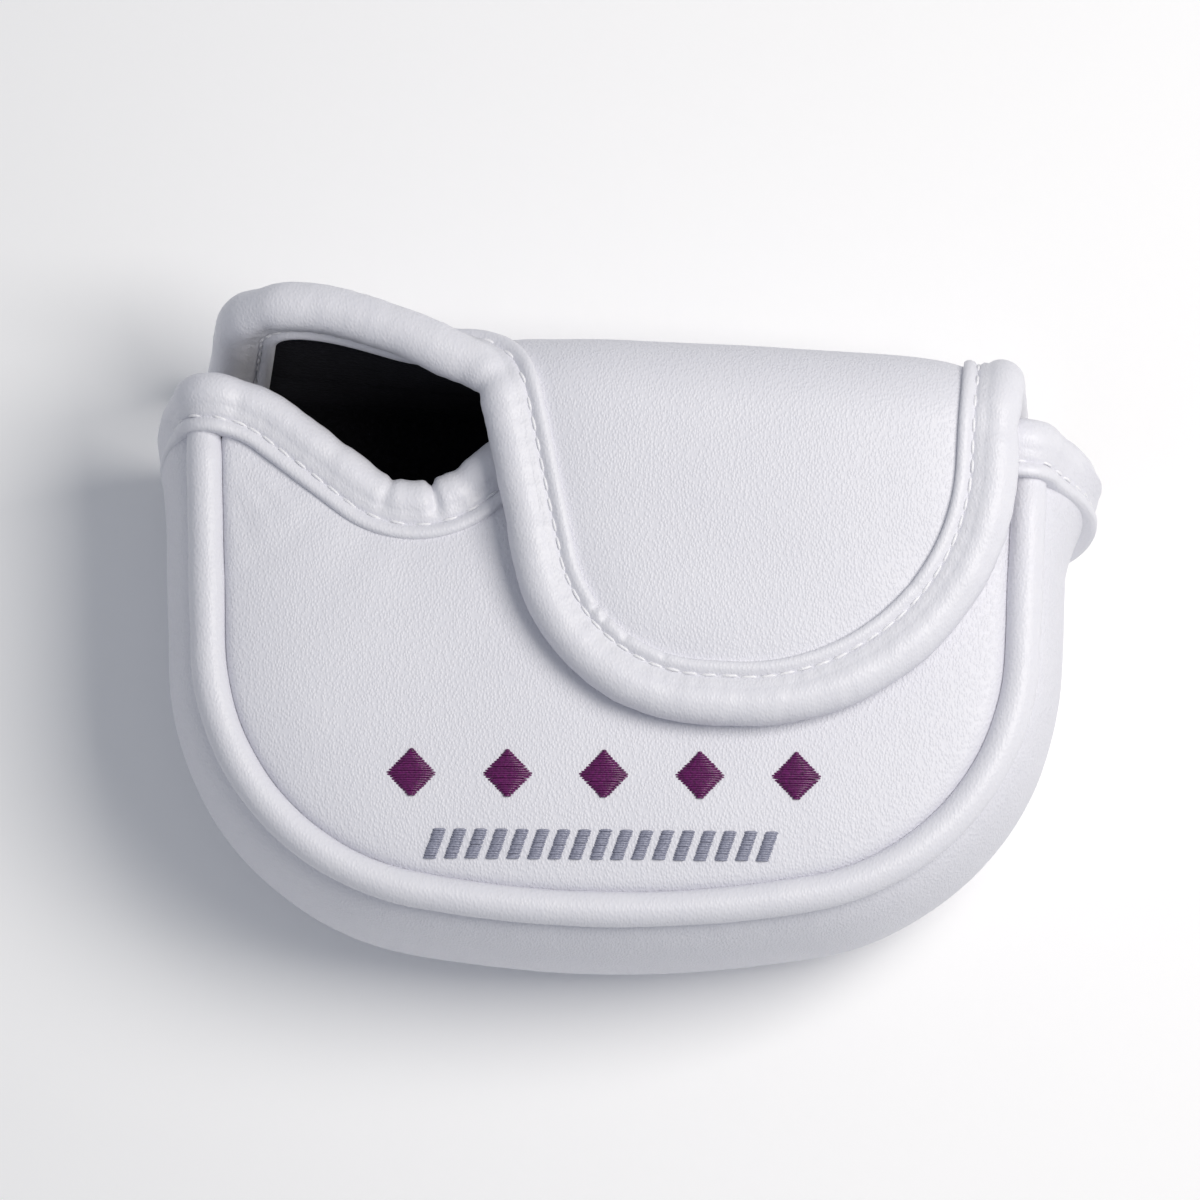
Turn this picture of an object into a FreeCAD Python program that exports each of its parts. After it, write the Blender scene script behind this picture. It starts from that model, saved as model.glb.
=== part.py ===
import FreeCAD
import Part
import math
import os

# Head cover for a mallet putter: a sewn, padded pouch with a magnetic flap.
#
# The cover lies as it does on a putter at address. Its flat sole side is on z = 0, and its crown side is up.
# The rounded end points to -Y, and the mouth opens to +Y, where the putter's face is. The heel is at -X and
# the toe at +X. The origin is on the sole panel's outer face, on the pouch's centre line. Sizes are in
# millimetres.
#
# Every panel is a stack of leather, foam and plush lining. One long tongue grows out of the sole: it
# turns up as the face wall, folds over the mouth and lies on the crown, where two pairs of magnets
# hold it. The tongue is laid out square to the face wall, and then turned by the slant of the cover's
# front.

V = FreeCAD.Vector

# Sheet thicknesses of every panel
leather = 1.2
foam = 2.8
lining = 1.5
stack = leather + foam + lining

# Pouch outline, taken at the seam between a panel and its piping
half_width = 63.5        # half the width at the mouth
width_station = 35.0     # Y at which half_width is taken
side_lean = 2.0          # degrees that each side closes in towards the rounded end
corner_radius = 38.0
end_radius = 170.0
end_y = -43.7            # Y of the rounded end
body_height = 46.0       # outer face of the sole to outer face of the crown

# Piping between the panels and the gusset
piping_radius = 2.8
piping_wrap = 0.9        # leather round the piping cord
piping_rise = 0.6        # how far the crown piping stands above the crown
seam_tuck = 0.8          # how far the panels reach into the piping
gusset_seat = 4.8        # outer face of the gusset at the piping, outside the seam
gusset_bulge = 3.8       # how far the gusset swells at half height
heel_flare = 1.0         # how far the gusset's ends open out at the mouth
toe_flare = 5.0
flare_length = 14.0

# Padded binding round every free edge
binding_radius = 3.7
binding_wrap = 1.3       # leather, doubled by its seam, round the padding
stitch_offset = 4.3      # from the binding's middle to its stitch line
stitch_pitch = 6.4       # one modelled stitch stands for two real ones
stitch_length = 3.2
stitch_radius = 0.3

# Mouth edge: the binding's middle line, as seen from above
heel_corner_y = 36.6
toe_corner_y = 29.8
heel_sole_y = 27.7       # where the same edge reaches the sole
toe_sole_y = 20.5
heel_bend_inset = 6.5    # from the half width to the bend beside the heel corner
heel_bend_y = 34.0
notch = (-32.0, 15.0)    # dip that the shaft comes out of
notch_end = (-10.0, 32.6)
heel_bend_radius = 20.0
notch_radius = 14.0
notch_end_radius = 18.0
mouth_corner_radius = 5.0

# Face wall and the two living hinges
front_slant = 2.6        # degrees that the front falls back towards the toe
hinge_radius = 8.0       # middle of the stack round each bend
wall_y = 42.0            # middle of the wall
wall_inset = 2.0         # from the half width to the wall's edge
hinge_gap = 0.3          # between the two sides of a living hinge
lip_out = 6.3            # how far the heel lip leans out at its end
lip_height = 46.5
lip_corner_radius = 12.0

# Flap, as seen from above: the binding's middle line
flap_clear = 0.3         # between the flap's binding and the mouth's, which it lies on
flap_root_x = -18.0
flap_slant = 14.4        # degrees that the heel edge leans from the Y axis
flap_toe_inset = 3.0     # from the half width to the flap's toe edge
flap_end_y = -13.2
flap_heel_radius = 28.0
flap_toe_radius = 40.0

# Magnets, in pairs one above the other
magnet_radius = 6.0
magnet_height = 1.5
magnet_clear = 0.1
magnet_places = [(8.0, 0.0), (36.0, 2.0)]

# Embroidery on the crown
thread_height = 0.4
diamond_count = 5
diamond_size = 8.0
diamond_pitch = 15.3
diamond_row = (-1.6, -25.4)
braid_count = 17
braid_pitch = 3.3
braid_width = 1.9
braid_height = 3.6
braid_slant = 1.4
braid_row = (-2.0, -36.6)

# Values that follow from the ones above
heel_bend = (heel_bend_inset - half_width, heel_bend_y)
wall_half_width = half_width - wall_inset
flap_toe_x = half_width - flap_toe_inset
half_stack = stack / 2
crown_mid = body_height - half_stack
crown_piping_z = body_height + piping_rise - piping_radius
sole_piping_z = piping_radius
edge_rest_z = binding_radius + 0.05      # a binding that lies on the ground
hinge_start_y = wall_y - hinge_radius
wall_low = half_stack + hinge_radius
mouth_top = max(crown_mid, crown_piping_z) + binding_radius
flap_mid = mouth_top + flap_clear + binding_radius      # its binding passes over the mouth's
wall_top = flap_mid - hinge_radius
slant_run = math.tan(math.radians(flap_slant))
lip_x = flap_root_x - (binding_radius + hinge_gap) / math.cos(math.radians(flap_slant))
lip_edge_z = flap_mid - 0.2              # the lip's edge where it meets the fold
far = 200.0


def unit(v):
    return V(v).normalize()


def prism(points, direction):
    """A solid with a flat polygon as its base, pushed along a vector."""
    return Part.Face(Part.makePolygon(points + [points[0]])).extrude(direction)


def block(x, y, z):
    """A box from three (low, high) pairs."""
    return Part.makeBox(x[1] - x[0], y[1] - y[0], z[1] - z[0], V(x[0], y[0], z[0]))


def filleted(points, radii):
    """Edges along points, each corner rounded by a tangent arc of the radius given for it."""
    edges = []
    start = points[0]
    for before, corner, after, radius in zip(points, points[1:], points[2:], radii):
        u = unit(corner - before)
        w = unit(after - corner)
        half_turn = u.getAngle(w) / 2
        reach = radius * math.tan(half_turn)
        first = corner - u * reach
        last = corner + w * reach
        middle = corner + unit(w - u) * (radius / math.cos(half_turn) - radius)
        edges.append(Part.LineSegment(start, first).toShape())
        edges.append(Part.Arc(first, middle, last).toShape())
        start = last
    edges.append(Part.LineSegment(start, points[-1]).toShape())
    return edges


def swept(face, edges):
    """A flat face carried along a run of tangent lines and arcs."""
    parts = []
    for edge in edges:
        curve = edge.Curve
        if edge.Closed or hasattr(curve, "Radius"):
            turn = math.degrees(edge.LastParameter - edge.FirstParameter)
            parts.append(face.revolve(curve.Center, curve.Axis, turn))
            face = face.rotated(curve.Center, curve.Axis, turn)
        else:
            step = edge.valueAt(edge.LastParameter) - edge.valueAt(edge.FirstParameter)
            parts.append(face.extrude(step))
            face = face.translated(step)
    return parts[0].fuse(parts[1:])


def tube(edges, radius, ball_ends=True):
    """A round bar along edges."""
    first = edges[0].valueAt(edges[0].FirstParameter)
    last = edges[-1].valueAt(edges[-1].LastParameter)
    along = edges[0].tangentAt(edges[0].FirstParameter)
    bar = swept(Part.Face(Part.Wire(Part.Circle(first, along, radius).toShape())), edges)
    if ball_ends:
        bar = bar.fuse([Part.makeSphere(radius, first), Part.makeSphere(radius, last)])
    return bar


def cut(shape, *tools):
    """shape less every tool that reaches it."""
    near = [t for t in tools if t.BoundBox.intersect(shape.BoundBox)]
    return shape.cut(near) if near else shape


def largest(shape, count=1):
    """The shape's largest solids, without the crumbs that a cut leaves."""
    return Part.makeCompound(sorted(shape.Solids, key=lambda s: -s.Volume)[:count])


# The pouch's outline

def outline_centres():
    """Centre of the heel corner's arc, centre of the end arc, and the heel side's outward normal."""
    lean = math.radians(side_lean)
    outward = V(-math.cos(lean), -math.sin(lean), 0)
    down = V(math.sin(lean), -math.cos(lean), 0)
    end_centre = V(0, end_y + end_radius, 0)
    level = outward.dot(V(-half_width, width_station, 0)) - corner_radius
    q = outward * level - end_centre
    along = down.dot(q)
    slide = math.sqrt(along ** 2 - q.dot(q) + (end_radius - corner_radius) ** 2) - along
    return outward * level + down * slide, end_centre, outward


def mirrored(v):
    return V(-v.x, v.y, v.z)


def outline_edges(grow, z, top_y, toe_top_y=None):
    """The U of the outline, grown outwards, from the heel side's top to the toe side's top."""
    corner, end_centre, outward = outline_centres()
    up = V(-outward.y, outward.x, 0) * -1
    lift = V(0, 0, z)
    side_low = corner + outward * (corner_radius + grow)
    top_ys = (top_y, top_y if toe_top_y is None else toe_top_y)
    tops = [side_low + up * ((y - side_low.y) / up.y) for y in top_ys]
    to_corner = unit(corner - end_centre)
    corner_low = end_centre + to_corner * (end_radius + grow)
    corner_mid = corner + unit(outward + to_corner) * (corner_radius + grow)
    lowest = end_centre - V(0, end_radius + grow, 0)
    heel = [tops[0], side_low, corner_mid, corner_low]
    toe = [mirrored(p) for p in (tops[1], side_low, corner_mid, corner_low)]
    heel = [p + lift for p in heel]
    toe = [p + lift for p in toe]
    return [
        Part.LineSegment(heel[0], heel[1]).toShape(),
        Part.Arc(heel[1], heel[2], heel[3]).toShape(),
        Part.Arc(heel[3], lowest + lift, toe[3]).toShape(),
        Part.Arc(toe[3], toe[2], toe[1]).toShape(),
        Part.LineSegment(toe[1], toe[0]).toShape(),
    ]


def outline_slab(grow, low, high, top_y):
    """The outline as a plate between two heights, closed straight across at top_y."""
    edges = outline_edges(grow, low, top_y)
    first = edges[0].valueAt(edges[0].FirstParameter)
    last = edges[-1].valueAt(edges[-1].LastParameter)
    edges.append(Part.LineSegment(last, first).toShape())
    return Part.Face(Part.Wire(edges)).extrude(V(0, 0, high - low))


def outline_half_width(y, grow=0.0):
    """Half the outline's width at a Y on its straight sides."""
    return half_width + grow - (width_station - y) * math.tan(math.radians(side_lean))


def piping(z, radius):
    """A bar all along the outline at one height, outside the seam."""
    return tube(outline_edges(piping_radius, z, far / 4), radius, False)


def mouth_mid_y(side):
    """Y of the mouth edge half way up the gusset; side is -1 at the heel and 1 at the toe."""
    return (heel_corner_y + heel_sole_y) / 2 if side < 0 else (toe_corner_y + toe_sole_y) / 2


def gusset_section(side, y, swell, outside, inside):
    """The gusset's section on one of the outline's straight sides, swollen by a given amount."""
    low, high = sole_piping_z, crown_piping_z
    chord = (high - low) / 2
    radius = (chord ** 2 + swell ** 2) / (2 * swell)
    centre = gusset_seat + swell - radius
    middle = (high + low) / 2
    lean = math.radians(side_lean)
    start = V(side * outline_half_width(y), y, 0)
    outward = V(side * math.cos(lean), -math.sin(lean), 0)

    def at(depth, z):
        out = centre - depth + math.sqrt(radius ** 2 - (z - middle) ** 2)
        return start + outward * out + V(0, 0, z)

    outer = Part.Arc(at(outside, low), at(outside, middle), at(outside, high)).toShape()
    inner = Part.Arc(at(inside, low), at(inside, middle), at(inside, high)).toShape()
    caps = [Part.LineSegment(at(outside, z), at(inside, z)).toShape() for z in (low, high)]
    return Part.Wire(Part.__sortEdges__([outer, caps[1], inner, caps[0]]))


def gusset_layer(outside, inside):
    """One sheet of the gusset, between two depths below its outer face, opening out at the mouth."""
    starts = {side: mouth_mid_y(side) - flare_length for side in (-1, 1)}
    section = gusset_section(-1, starts[-1], gusset_bulge, outside, inside)
    parts = [swept(Part.Face(section), outline_edges(0.0, 0.0, starts[-1], starts[1]))]
    for side, flare in ((-1, heel_flare), (1, toe_flare)):
        run = 2 * flare_length + binding_radius
        wide = gusset_bulge + flare * run / flare_length
        low = gusset_section(side, starts[side], gusset_bulge, outside, inside)
        high = gusset_section(side, starts[side] + run, wide, outside, inside)
        parts.append(Part.makeLoft([low, high], True, True))
    return parts[0].fuse(parts[1:])


# The mouth edge

def bowed(low, high, out):
    """Corner point and rounding radius of an edge that bows out by a given amount between two points."""
    corner = (low + high) / 2 + V(1.5 * out, 0, 0)
    half_turn = math.atan(1.5 * abs(out) / (low.distanceToPoint(high) / 2))
    return corner, 0.5 * abs(out) / (1 / math.cos(half_turn) - 1)


def mouth_points():
    """Corner points of the mouth binding's middle line, heel end first, and how each is rounded."""
    out = gusset_bulge - (half_stack - (gusset_seat - piping_radius))
    ends = []
    for side, corner_y, sole_y, flare in ((-1, heel_corner_y, heel_sole_y, heel_flare),
                                          (1, toe_corner_y, toe_sole_y, toe_flare)):
        low = V(side * outline_half_width(sole_y, piping_radius), sole_y, edge_rest_z)
        high = V(side * outline_half_width(corner_y, piping_radius), corner_y, crown_piping_z)
        ends.append((low, high, *bowed(low, high, side * (out + flare))))
    heel, toe = ends
    points = [heel[0], heel[2], heel[1]]
    points += [V(x, y, crown_mid) for x, y in (heel_bend, notch, notch_end)]
    points += [toe[1], toe[2], toe[0]]
    radii = [heel[3], mouth_corner_radius, heel_bend_radius, notch_radius,
             notch_end_radius, mouth_corner_radius, toe[3]]
    return points, radii


def crown_cutter():
    """Everything in front of the mouth edge at the crown's height."""
    points, radii = mouth_points()
    flat = [V(p.x, p.y, 0) for p in points[2:7]]
    edges = filleted(flat, radii[2:5])
    outside = [V(far, flat[-1].y, 0), V(far, far, 0), V(-far, far, 0), V(-far, flat[0].y, 0)]
    corners = [flat[-1], *outside, flat[0]]
    for a, b in zip(corners, corners[1:]):
        edges.append(Part.LineSegment(a, b).toShape())
    face = Part.Face(Part.Wire(edges))
    face.translate(V(0, 0, body_height - stack - 0.5))
    return face.extrude(V(0, 0, stack + 1.5))


def side_cutter(side, corner_y, sole_y):
    """Everything in front of one end of the gusset; side is -1 at the heel and 1 at the toe."""
    slope = (corner_y - sole_y) / (crown_piping_z - edge_rest_z)
    low, high = -1.0, body_height + 10

    def y_at(z):
        return sole_y + slope * (z - edge_rest_z)

    x = side * (half_width - 4.0)
    points = [V(x, y_at(low), low), V(x, far, low), V(x, far, high), V(x, y_at(high), high)]
    return prism(points, V(side * far, 0, 0))


# The long tongue: face wall, fold and flap

def slanted(shape):
    """A shape of the tongue, turned to the slant of the cover's front."""
    turned = shape.copy()
    turned.rotate(V(0, hinge_start_y, 0), V(0, 0, 1), -front_slant)
    return turned


def straightened(point):
    """Where a point of the pouch is in the tongue's own layout."""
    turn = FreeCAD.Rotation(V(0, 0, 1), front_slant)
    pivot = V(0, hinge_start_y, 0)
    return turn.multVec(point - pivot) + pivot


def flap_corners():
    """The flap's two end corners, heel first, on the binding's middle line."""
    heel_x = flap_root_x + (hinge_start_y - flap_end_y) * slant_run
    return V(heel_x, flap_end_y, 0), V(flap_toe_x, flap_end_y, 0)


def tongue_points():
    """Corner points of the tongue binding's middle line, from the heel's sole corner to the toe's."""
    low_x = outline_half_width(hinge_start_y, 0.5)
    sole_ends = [straightened(V(side * outline_half_width(y, 0.5), y, edge_rest_z))
                 for side, y in ((-1, heel_sole_y), (1, toe_sole_y))]
    heel_end, toe_end = [p + V(0, 0, flap_mid) for p in flap_corners()]
    corner_y = wall_y - 0.3
    points = [
        sole_ends[0],
        V(-low_x, wall_y + 1.0, edge_rest_z),
        V(-wall_half_width + 0.5, wall_y + lip_out, lip_height),
        V(flap_root_x - (corner_y - hinge_start_y) * slant_run, corner_y, lip_edge_z),
        heel_end,
        toe_end,
        V(flap_toe_x + 0.5, wall_y, flap_mid),
        V(low_x - 1.0, wall_y, edge_rest_z),
        sole_ends[1],
    ]
    radii = [hinge_radius - 0.5, lip_corner_radius / 1.5, lip_corner_radius, flap_heel_radius,
             flap_toe_radius, hinge_radius, hinge_radius - 1.0]
    return points, radii


def wall_layer(outside, inside):
    """One sheet of the face wall and its heel lip, between two depths below the outer face."""
    bottom = wall_low + hinge_gap
    face_y = wall_y + half_stack
    lip_end = lip_x - hinge_gap
    stations = [
        (-outline_half_width(hinge_start_y), -wall_half_width, lip_out, lip_height),
        (lip_end, lip_end, 0.0, lip_edge_z),
    ]
    rings = []
    for low_x, high_x, out, top in stations:
        corners = [
            V(low_x, face_y - outside, bottom),
            V(high_x, face_y + out - outside, top),
            V(high_x, face_y + out - inside, top),
            V(low_x, face_y - inside, bottom),
        ]
        rings.append(Part.makePolygon(corners + [corners[0]]))
    lip = Part.makeLoft(rings, True, True)
    depth = (face_y - inside, face_y - outside)
    return lip.fuse(block((lip_end, wall_half_width), depth, (bottom, wall_top - hinge_gap)))


def bend_layer(centre_z, quarter, outside, inside, span):
    """A quarter ring of sheet round a living hinge: quarter 0 at the sole, 1 over the mouth."""
    outer, inner = hinge_radius + half_stack - outside, hinge_radius + half_stack - inside
    turns = (-90, -45, 0) if quarter == 0 else (0, 45, 90)

    def at(radius, degrees):
        angle = math.radians(degrees)
        return V(span[0], hinge_start_y + radius * math.cos(angle), centre_z + radius * math.sin(angle))

    big = Part.Arc(*[at(outer, d) for d in turns]).toShape()
    small = Part.Arc(*[at(inner, d) for d in turns]).toShape()
    ends = [Part.LineSegment(at(outer, d), at(inner, d)).toShape() for d in (turns[0], turns[2])]
    face = Part.Face(Part.Wire(Part.__sortEdges__([big, ends[1], small, ends[0]])))
    return face.extrude(V(span[1] - span[0], 0, 0))


def flap_layer(low, high):
    """One sheet of the flap, between two heights."""
    start_y = hinge_start_y - hinge_gap
    flat = [V(flap_root_x + hinge_gap * slant_run, start_y, 0), *flap_corners(), V(flap_toe_x, start_y, 0)]
    edges = filleted([p + V(0, 0, low) for p in flat], [flap_heel_radius, flap_toe_radius])
    edges.append(Part.LineSegment(flat[-1] + V(0, 0, low), flat[0] + V(0, 0, low)).toShape())
    return Part.Face(Part.Wire(edges)).extrude(V(0, 0, high - low))


# Stitches, magnets and embroidery

def stitches_along(edges, side, face_z, keep):
    """Short bars lying on a level face beside a run of edges, on its left where side is 1."""
    wire = Part.Wire(edges)
    length = wire.Length
    count = int(length / stitch_pitch)
    marks = wire.discretize(Number=2 * count + 1)
    bars = []
    for i in range(1, len(marks) - 1, 2):
        along = unit(marks[i + 1] - marks[i - 1])
        across = V(-along.y, along.x, 0) * side
        middle = marks[i] + across * stitch_offset
        if not keep(middle):
            continue
        start = V(middle.x, middle.y, face_z + stitch_radius) - along * (stitch_length / 2)
        bars.append(Part.makeCylinder(stitch_radius, stitch_length, start, along))
    return Part.makeCompound(bars)


def magnets(top, radius, height):
    """A disc for each magnet, hanging down from a height."""
    return [Part.makeCylinder(radius, height, V(x, y, top - height)) for x, y in magnet_places]


def diamonds():
    """A row of satin-stitched diamonds."""
    x_mid, y = diamond_row
    half = diamond_size / 2
    found = []
    for i in range(diamond_count):
        x = x_mid + (i - (diamond_count - 1) / 2) * diamond_pitch
        corners = [V(x - half, y, body_height), V(x, y - half, body_height),
                   V(x + half, y, body_height), V(x, y + half, body_height)]
        found.append(prism(corners, V(0, 0, thread_height)))
    return Part.makeCompound(found)


def braid():
    """A row of slanted satin-stitched bars."""
    x_mid, y = braid_row
    w, h, s = braid_width / 2, braid_height / 2, braid_slant / 2
    found = []
    for i in range(braid_count):
        x = x_mid + (i - (braid_count - 1) / 2) * braid_pitch
        corners = [V(x - w - s, y - h, body_height), V(x + w - s, y - h, body_height),
                   V(x + w + s, y + h, body_height), V(x - w + s, y + h, body_height)]
        found.append(prism(corners, V(0, 0, thread_height)))
    return Part.makeCompound(found)


def build():
    """Every piece of the cover, by node name."""
    made = {}
    cutters = [side_cutter(-1, heel_corner_y, heel_sole_y), side_cutter(1, toe_corner_y, toe_sole_y)]

    # Piping: a cord in a leather wrap along each panel seam
    space = {}
    for name, z in (("crown_piping", crown_piping_z), ("sole_piping", sole_piping_z)):
        space[name] = cut(piping(z, piping_radius), *cutters)
        made[name + "_cord"] = cut(piping(z, piping_radius - piping_wrap), *cutters)
        made[name] = cut(space[name], made[name + "_cord"])
    pipings = list(space.values())

    # Crown and sole stacks; the sole's runs on to the hinge
    ahead = slanted(block((-far, far), (hinge_start_y - hinge_gap, far), (-9, far)))
    mouth = crown_cutter()
    depths = {"panel": (0, leather), "foam": (leather, leather + foam), "lining": (leather + foam, stack)}
    levels = [("crown_" + n, body_height - b, body_height - a, mouth) for n, (a, b) in depths.items()]
    levels += [("sole_" + n, a, b, ahead) for n, (a, b) in depths.items()]
    for name, low, high, edge in levels:
        made[name] = largest(cut(outline_slab(seam_tuck, low, high, far / 4), edge, *pipings))
    space["crown"] = cut(outline_slab(seam_tuck, body_height - stack, body_height, far / 4), mouth)
    space["sole"] = cut(outline_slab(seam_tuck, 0, stack, far / 4), ahead)

    # Gusset stack
    for n, (outside, inside) in depths.items():
        made["gusset_" + n] = largest(cut(gusset_layer(outside, inside), *cutters, *space.values()))
    space["gusset"] = cut(gusset_layer(0, stack), *cutters)
    shell = list(space.values())

    # Mouth binding round the crown's edge and the gusset's ends
    mouth_edges = filleted(*mouth_points())
    mouth_whole = tube(mouth_edges, binding_radius)
    mouth_core = tube(mouth_edges, binding_radius - binding_wrap)
    made["mouth_binding"] = largest(cut(mouth_whole, mouth_core, *shell))
    made["mouth_binding_padding"] = largest(cut(mouth_core, *shell))

    # The tongue's stacks: face wall between the two living hinges, and the flap
    flap_top = flap_mid + half_stack
    low_x = outline_half_width(hinge_start_y)
    root_span = (-low_x, low_x - 1.5)
    fold_span = (flap_root_x - 0.5, flap_toe_x + 0.4)
    tongue = {}
    tongue_space = [wall_layer(0, stack), flap_layer(flap_top - stack, flap_top)]
    tongue_space.append(bend_layer(wall_low, 0, 0, stack, root_span))
    tongue_space.append(bend_layer(wall_top, 1, 0, stack, fold_span))
    for n, (outside, inside) in depths.items():
        tongue["wall_" + n] = wall_layer(outside, inside)
        tongue["flap_" + n] = flap_layer(flap_top - inside, flap_top - outside)
        if n != "foam":
            tongue["root_hinge_" + n] = bend_layer(wall_low, 0, outside, inside, root_span)
            tongue["fold_hinge_" + n] = bend_layer(wall_top, 1, outside, inside, fold_span)

    # Its binding, shared out between the hinges and what they join
    tongue_edges = filleted(*tongue_points())
    tongue_whole = tube(tongue_edges, binding_radius)
    tongue_core = tube(tongue_edges, binding_radius - binding_wrap)
    ring = cut(tongue_whole, tongue_core, *tongue_space)
    core = cut(tongue_core, *tongue_space)
    wide = (-far, far)
    behind = (-far, hinge_start_y - hinge_gap)
    front = (hinge_start_y, far)
    lip_zone = block((-far, lip_x - hinge_gap), front, (wall_top - hinge_gap, far))
    zones = {
        "sole": block(wide, behind, (-9, wall_low)),
        "root_hinge": block(wide, front, (-9, wall_low)),
        "wall": block(wide, front, (wall_low + hinge_gap, wall_top - hinge_gap)).fuse(lip_zone),
        "fold_hinge": block((lip_x, far), front, (wall_top, far)),
        "flap": block(wide, behind, (wall_top, far)),
    }
    for zone, room in zones.items():
        for name, whole in (("_binding", ring), ("_binding_padding", core)):
            piece = cut(slanted(whole.common(room)), mouth_whole, *shell)
            made[zone + name] = largest(piece, 1 if zone == "flap" else 2)
    for n, shape in tongue.items():
        made[n] = cut(slanted(shape), mouth_whole, *shell) if n.startswith("root") else slanted(shape)

    # Magnets in the foam of the flap and of the crown under it
    seat_depth = leather + (foam - magnet_height) / 2
    for name, seat in (("flap", flap_top - seat_depth), ("crown", body_height - seat_depth)):
        made[name + "_magnets"] = Part.makeCompound(magnets(seat, magnet_radius, magnet_height))
        pocket_height = magnet_height + 2 * magnet_clear
        pockets = magnets(seat + magnet_clear, magnet_radius + magnet_clear, pocket_height)
        made[name + "_foam"] = cut(made[name + "_foam"], *pockets)

    # Topstitching beside the bindings, and the embroidery
    points, radii = mouth_points()
    crown_run = filleted([V(p.x, p.y, 0) for p in points[2:7]], radii[2:5])
    clear_x = half_width - piping_radius
    made["mouth_stitching"] = stitches_along(crown_run, -1, body_height, lambda p: abs(p.x) < clear_x)
    flap_run = [V(flap_root_x, hinge_start_y, 0), *flap_corners(), V(flap_toe_x, hinge_start_y, 0)]
    flap_run = filleted(flap_run, [flap_heel_radius, flap_toe_radius])
    flap_stitches = stitches_along(flap_run, 1, flap_top, lambda p: p.y < hinge_start_y - stitch_length)
    made["flap_stitching"] = slanted(flap_stitches)
    made["diamond_embroidery"] = diamonds()
    made["braid_embroidery"] = braid()
    return made


os.makedirs("parts", exist_ok=True)
for node, shape in build().items():
    solids = shape.Solids
    if not solids or not all(s.isValid() for s in solids):
        print("FAULT", node, len(solids), [s.isValid() for s in solids])
    out = solids[0] if len(solids) == 1 else Part.makeCompound(solids)
    out.exportStep(os.path.join("parts", node + ".step"))
    print(node, len(solids), round(out.Volume, 1))
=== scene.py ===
import math
import bpy
import numpy as np
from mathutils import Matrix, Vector, noise
from mathutils.geometry import delaunay_2d_cdt


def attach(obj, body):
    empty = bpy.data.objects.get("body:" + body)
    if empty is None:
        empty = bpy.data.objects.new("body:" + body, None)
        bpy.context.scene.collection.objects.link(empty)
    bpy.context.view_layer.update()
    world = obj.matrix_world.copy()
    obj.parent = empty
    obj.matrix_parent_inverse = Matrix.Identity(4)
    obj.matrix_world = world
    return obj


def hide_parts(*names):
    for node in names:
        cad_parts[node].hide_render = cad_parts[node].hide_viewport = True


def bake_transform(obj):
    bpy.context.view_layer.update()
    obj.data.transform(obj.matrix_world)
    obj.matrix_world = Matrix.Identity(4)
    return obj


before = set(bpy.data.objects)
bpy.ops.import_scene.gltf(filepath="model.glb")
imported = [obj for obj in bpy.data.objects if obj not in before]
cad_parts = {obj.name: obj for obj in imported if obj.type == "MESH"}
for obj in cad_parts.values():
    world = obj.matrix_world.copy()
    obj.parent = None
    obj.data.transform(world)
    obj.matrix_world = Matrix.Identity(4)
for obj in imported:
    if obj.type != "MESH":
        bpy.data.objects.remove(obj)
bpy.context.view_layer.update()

mm = 0.001  # lengths below are millimetres, and the meshes are metres

# the pouch as it was cut: the flat seam outline, its height and the slanted mouth
pouch = {
    "halfWidth": 63.5, "widthY": 35.0, "sideLean": 2.0, "cornerRadius": 38.0,
    "endRadius": 170.0, "endY": -43.7, "height": 46.0, "halfStack": 2.75,
    "beadRadius": 2.8, "crownBeadZ": 43.8, "soleBeadZ": 2.8,
    "heelCornerY": 36.6, "heelSoleY": 27.7, "toeCornerY": 29.8, "toeSoleY": 20.5,
    "gussetSeat": 4.8, "gussetSwell": 3.8, "heelFlare": 1.0, "toeFlare": 5.0, "flareLength": 14.0,
}

# the tongue: sole, face wall and flap in one strip, laid out as x across and s along it
tongue = {
    "slant": 2.6, "bendRadius": 8.0, "hingeY": 34.0, "wallY": 42.0, "wallLow": 10.75, "wallTop": 43.5,
    "lipOut": 6.0, "lipStartX": -24.0, "lipFullX": -52.0, "foldStartX": -36.0, "foldFullX": -19.0,
    "splitS": 26.0, "lap": 1.5, "flapSettle": 0.9, "settleFrom": 8.0, "settleTo": 34.0,
    "restLift": 1.1, "restReach": 9.0, "restEnd": 12.0,
}


# small helpers

def unit(v):
    return v / np.maximum(np.linalg.norm(v, axis=-1, keepdims=True), 1e-9)


def smooth(low, high, x):
    t = np.clip((x - low) / (high - low), 0.0, 1.0)
    return t * t * (3.0 - 2.0 * t)


def ripple(points, size, seed):
    # soft, repeatable unevenness between -1 and 1, with bumps about size mm across
    offset = Vector((seed * 17.3, seed * 5.9, seed * 31.1))
    return np.array([noise.noise(Vector(p) / size + offset) for p in points])


def flatPoints(flat):
    return np.column_stack([flat, np.zeros(len(flat))])


def roundedLine(corners, radii, step=1.0):
    # straight runs joined by tangent arcs, as points about step mm apart
    corners = [np.array(c, float) for c in corners]
    line = [corners[0]]

    def addRun(goal):
        start = line[-1]
        count = max(1, int(round(np.linalg.norm(goal - start) / step)))
        line.extend(start + (goal - start) * i / count for i in range(1, count + 1))

    for before, corner, after, radius in zip(corners, corners[1:], corners[2:], radii):
        u, w = unit(corner - before), unit(after - corner)
        half = math.acos(float(np.clip(u @ w, -1, 1))) / 2
        if half < 0.002:
            continue
        first = corner - u * radius * math.tan(half)
        addRun(first)
        centre = corner + unit(w - u) * radius / math.cos(half)
        spoke = first - centre
        count = max(3, int(round(2 * half * radius / step)))
        for i in range(1, count + 1):
            a = 2 * half * i / count
            line.append(centre + spoke * math.cos(a) + u * radius * math.sin(a))
    addRun(corners[-1])
    return np.array(line)


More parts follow.
